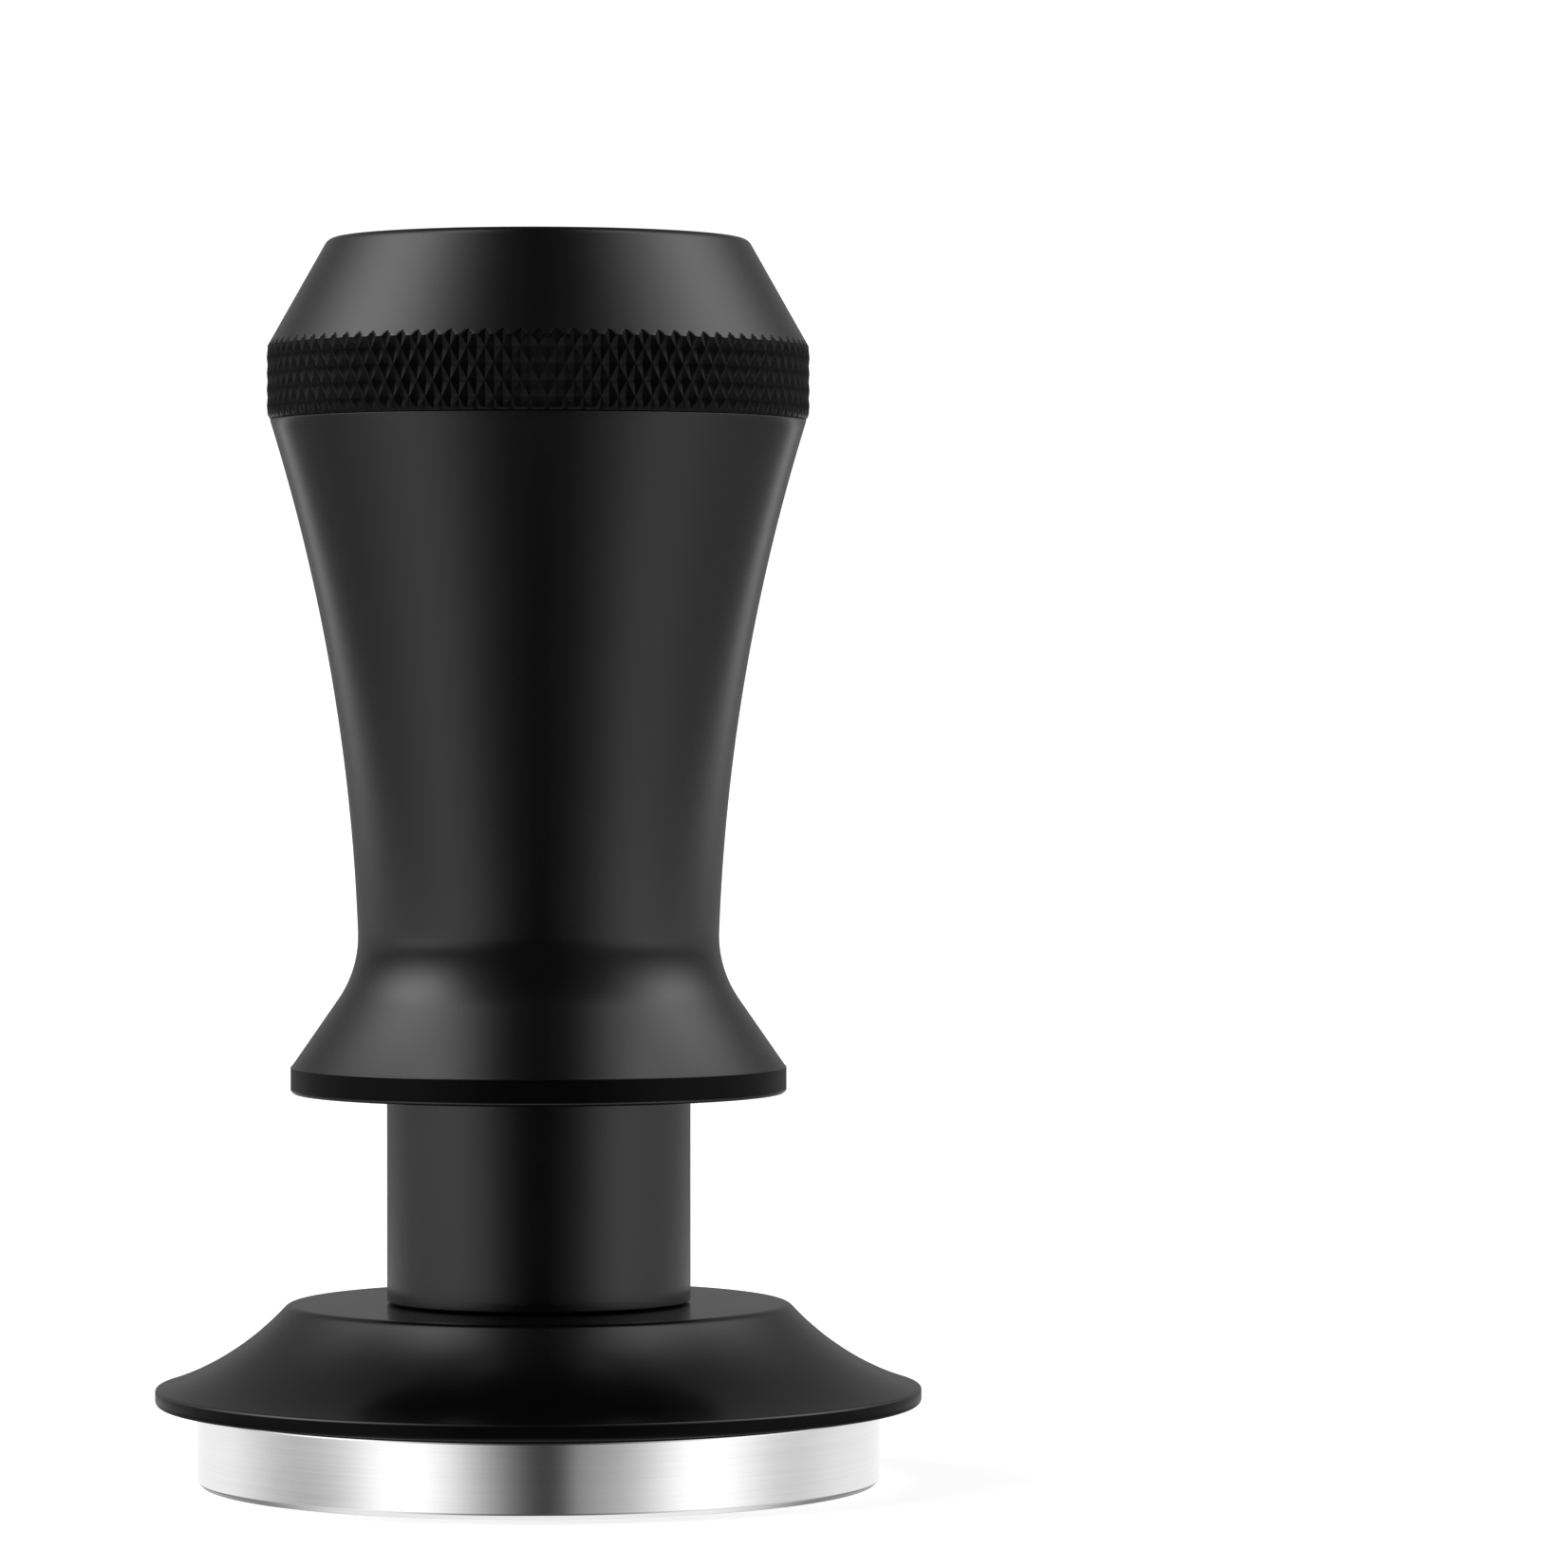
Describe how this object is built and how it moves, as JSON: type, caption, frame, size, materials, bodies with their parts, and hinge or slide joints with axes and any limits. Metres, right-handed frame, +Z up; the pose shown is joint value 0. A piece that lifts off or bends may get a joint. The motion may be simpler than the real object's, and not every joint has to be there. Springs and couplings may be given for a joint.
{
  "type": "espresso tamper",
  "caption": "Spring-loaded, self-levelling espresso tamper with a rippled steel base, a flared levelling collar, a waisted black handle and a knurled screw cap.",
  "frame": {"origin": "centre of the tamping face, on the surface it stands on", "axes": "+Z up the tamper's axis, from the tamping face towards the cap; +X and +Y are free because every part is turned about Z"},
  "size_m": [0.0598, 0.0598, 0.097],
  "materials": {
    "black_anodised": "bead-blasted black anodised, satin",
    "turned_steel": "fine-turned stainless steel",
    "rod_steel": "ground stainless steel",
    "spring_steel": "bright spring wire",
    "fastener_steel": "stainless fastener",
    "guide_polymer": "machined natural acetal",
    "bearing_bronze": "turned bearing bronze",
    "seal_rubber": "matt black nitrile rubber"
  },
  "bodies": {
    "base": {"tamping_base": "turned_steel", "base_stud": "fastener_steel", "base_washer": "fastener_steel", "centre_rod": "rod_steel", "rest_cushion": "seal_rubber", "guide_collar": "guide_polymer", "retaining_rings": "fastener_steel", "piston_head": "rod_steel", "head_washer": "fastener_steel", "head_screw": "fastener_steel", "main_spring": "spring_steel", "leveler_spring": "spring_steel"},
    "collar_carrier": {"thrust_washer": "bearing_bronze"},
    "collar": {"leveler_disc": "black_anodised", "leveler_sleeve": "black_anodised", "leveler_bush": "guide_polymer"},
    "handle_carrier": {"stop_washer": "bearing_bronze"},
    "handle": {"handle_body": "black_anodised", "web_bush": "guide_polymer", "sleeve_guide_ring": "guide_polymer"},
    "seat": {"upper_spring_seat": "rod_steel"},
    "cap": {"top_cap": "black_anodised", "cap_o_ring": "seal_rubber"}
  },
  "joints": [
    {"name": "collar_slide", "type": "slide", "parent": "base", "child": "collar_carrier", "axis": [0, 0, 1], "range_m": [0, 0.01], "stiffness_N_per_m": 450, "springref_m": -0.007, "deforming": ["leveler_spring"]},
    {"name": "collar_spin", "type": "hinge", "parent": "collar_carrier", "child": "collar", "pos_m": [0, 0, 0.014], "axis": [0, 0, 1], "continuous": true},
    {"name": "handle_press", "type": "slide", "parent": "base", "child": "handle_carrier", "axis": [0, 0, -1], "range_m": [0, 0.005], "stiffness_N_per_m": 8900, "springref_m": -0.0101, "deforming": ["main_spring"]},
    {"name": "handle_spin", "type": "hinge", "parent": "handle_carrier", "child": "handle", "pos_m": [0, 0, 0.06], "axis": [0, 0, 1], "continuous": true},
    {"name": "cap_lift", "type": "slide", "parent": "handle", "child": "seat", "axis": [0, 0, 1], "range_m": [0, 0.0075]},
    {"name": "cap_turn", "type": "hinge", "parent": "seat", "child": "cap", "pos_m": [0, 0, 0.083], "axis": [0, 0, 1], "range_deg": [0, 1800]}
  ],
  "couplings": [
    {"joint": "cap_lift", "follows": "cap_turn", "m_per_rad": 0.00023873}
  ]
}
